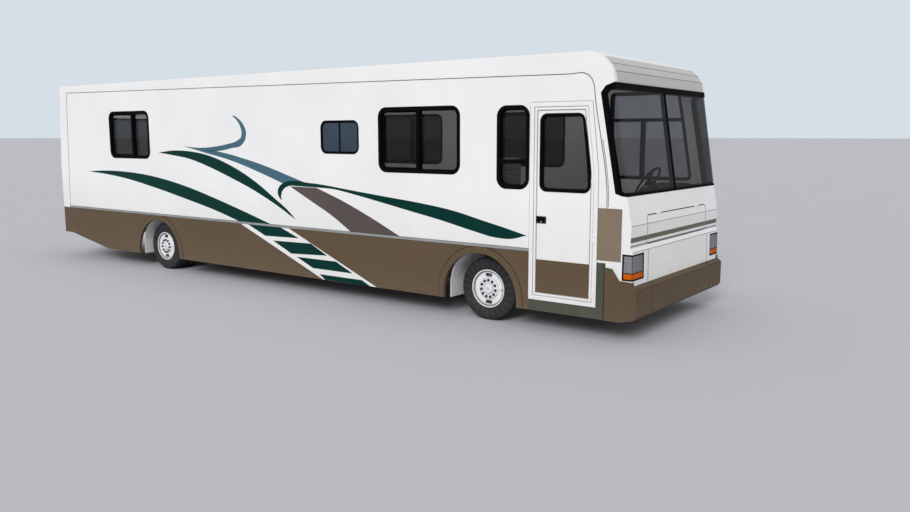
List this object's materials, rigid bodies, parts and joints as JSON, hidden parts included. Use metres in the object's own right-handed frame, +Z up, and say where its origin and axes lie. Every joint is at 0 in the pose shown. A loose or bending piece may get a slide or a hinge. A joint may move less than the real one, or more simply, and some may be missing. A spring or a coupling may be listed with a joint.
{
  "type": "motorhome",
  "caption": "Long flat-sided coach motorhome on six tyres, with a wrapped windscreen, entry door ahead of the front wheel, steering front wheels and opening lids.",
  "frame": {"origin": "on the ground under the middle of the outer box", "axes": "+X forward, +Y to the left side, +Z up; the entry door is on the -Y side"},
  "size_m": [11.013, 2.571, 3.058],
  "materials": {
    "body_white": "gloss gelcoat over fibreglass",
    "skirt_brown": "satin brown paint",
    "olive": "satin olive grey paint",
    "tan": "satin tan paint",
    "moulding_grey": "matt grey vinyl",
    "trim_black": "matt black rubber and powder coat",
    "tinted_glass": "dark tinted safety glass",
    "vent_glass": "obscured blue-grey glass",
    "lamp_grey": "grey prismatic lens",
    "turn_orange": "orange lens",
    "tail_red": "red lens",
    "chassis_black": "black chassis paint",
    "engine_iron": "painted cast iron",
    "wheel_silver": "silver wheel paint",
    "tyre": "black rubber",
    "liner_white": "moulded white liner",
    "floor_board": "sealed floor board",
    "dash_brown": "dark moulded dashboard",
    "seat_cloth": "brown seat cloth",
    "steel": "plated steel"
  },
  "bodies": {
    "coach": {"side_wall_right": "body_white", "side_wall_left": "body_white", "roof": "body_white", "front_cap": "body_white", "rear_cap": "body_white", "windscreen_frame": "trim_black", "windscreen_glass": "tinted_glass", "window_frames": "trim_black", "window_glass": "tinted_glass", "vent_window_glass": "vent_glass", "lamp_bezels": "trim_black", "headlamp_lenses": "lamp_grey", "turn_lenses": "turn_orange", "tail_lenses": "tail_red", "skirt_right": "skirt_brown", "skirt_left": "skirt_brown", "door_surround": "olive", "belt_mouldings": "moulding_grey", "corner_plates": "tan", "front_bumper": "skirt_brown", "rear_bumper": "skirt_brown", "wheel_liners": "liner_white", "entry_frame": "body_white", "axles": "chassis_black", "leaf_springs": "chassis_black", "chassis_frame": "chassis_black", "floor": "floor_board", "engine_block": "engine_iron", "storage_bays": "chassis_black", "driveshaft": "steel", "exhaust": "steel", "tanks": "chassis_black", "dashboard": "dash_brown", "steering_wheel": "trim_black", "cab_seats": "seat_cloth", "roof_vents": "body_white", "tow_fittings": "chassis_black"},
    "entry_door_leaf": {"entry_door": "body_white", "entry_door_lower_skin": "skirt_brown", "entry_door_handle": "trim_black", "entry_door_window_frame": "trim_black", "entry_door_glass": "tinted_glass"},
    "nose_lid_body": {"nose_lid": "body_white"},
    "engine_lid_body": {"engine_lid": "body_white"},
    "steering_knuckle_right": {"knuckle_right": "chassis_black"},
    "steering_knuckle_left": {"knuckle_left": "chassis_black"},
    "front_wheel_right": {"front_tyre_right": "tyre", "front_rim_right": "wheel_silver"},
    "front_wheel_left": {"front_tyre_left": "tyre", "front_rim_left": "wheel_silver"},
    "rear_wheels_right": {"rear_tyres_right": "tyre", "rear_rims_right": "wheel_silver"},
    "rear_wheels_left": {"rear_tyres_left": "tyre", "rear_rims_left": "wheel_silver"}
  },
  "joints": [
    {"name": "entry_door_hinge", "type": "hinge", "parent": "coach", "child": "entry_door_leaf", "pos_m": [4.995, -1.281, 1.2], "axis": [0, 0, 1], "range_deg": [0, 90]},
    {"name": "nose_lid_hinge", "type": "hinge", "parent": "coach", "child": "nose_lid_body", "pos_m": [5.41469, 0, 1.30326], "axis": [0, -1, 0], "range_deg": [0, 80]},
    {"name": "engine_lid_hinge", "type": "hinge", "parent": "coach", "child": "engine_lid_body", "pos_m": [-5.507, 0, 1.342], "axis": [0, 1, 0], "range_deg": [0, 80]},
    {"name": "steer_left", "type": "hinge", "parent": "coach", "child": "steering_knuckle_left", "pos_m": [3.615, 0.9, 0.372], "axis": [0, 0, 1], "range_deg": [-30, 30]},
    {"name": "steer_right", "type": "hinge", "parent": "coach", "child": "steering_knuckle_right", "pos_m": [3.615, -0.9, 0.372], "axis": [0, 0, 1], "range_deg": [-30, 30]},
    {"name": "front_wheel_spin_right", "type": "hinge", "parent": "steering_knuckle_right", "child": "front_wheel_right", "pos_m": [3.615, -1.0585, 0.372], "axis": [0, 1, 0], "continuous": true},
    {"name": "front_wheel_spin_left", "type": "hinge", "parent": "steering_knuckle_left", "child": "front_wheel_left", "pos_m": [3.615, 1.0585, 0.372], "axis": [0, 1, 0], "continuous": true},
    {"name": "rear_wheel_spin_right", "type": "hinge", "parent": "coach", "child": "rear_wheels_right", "pos_m": [-2.645, -1.0585, 0.372], "axis": [0, 1, 0], "continuous": true},
    {"name": "rear_wheel_spin_left", "type": "hinge", "parent": "coach", "child": "rear_wheels_left", "pos_m": [-2.645, 1.0585, 0.372], "axis": [0, 1, 0], "continuous": true}
  ],
  "couplings": [
    {"joint": "steer_right", "follows": "steer_left", "ratio": 1}
  ]
}
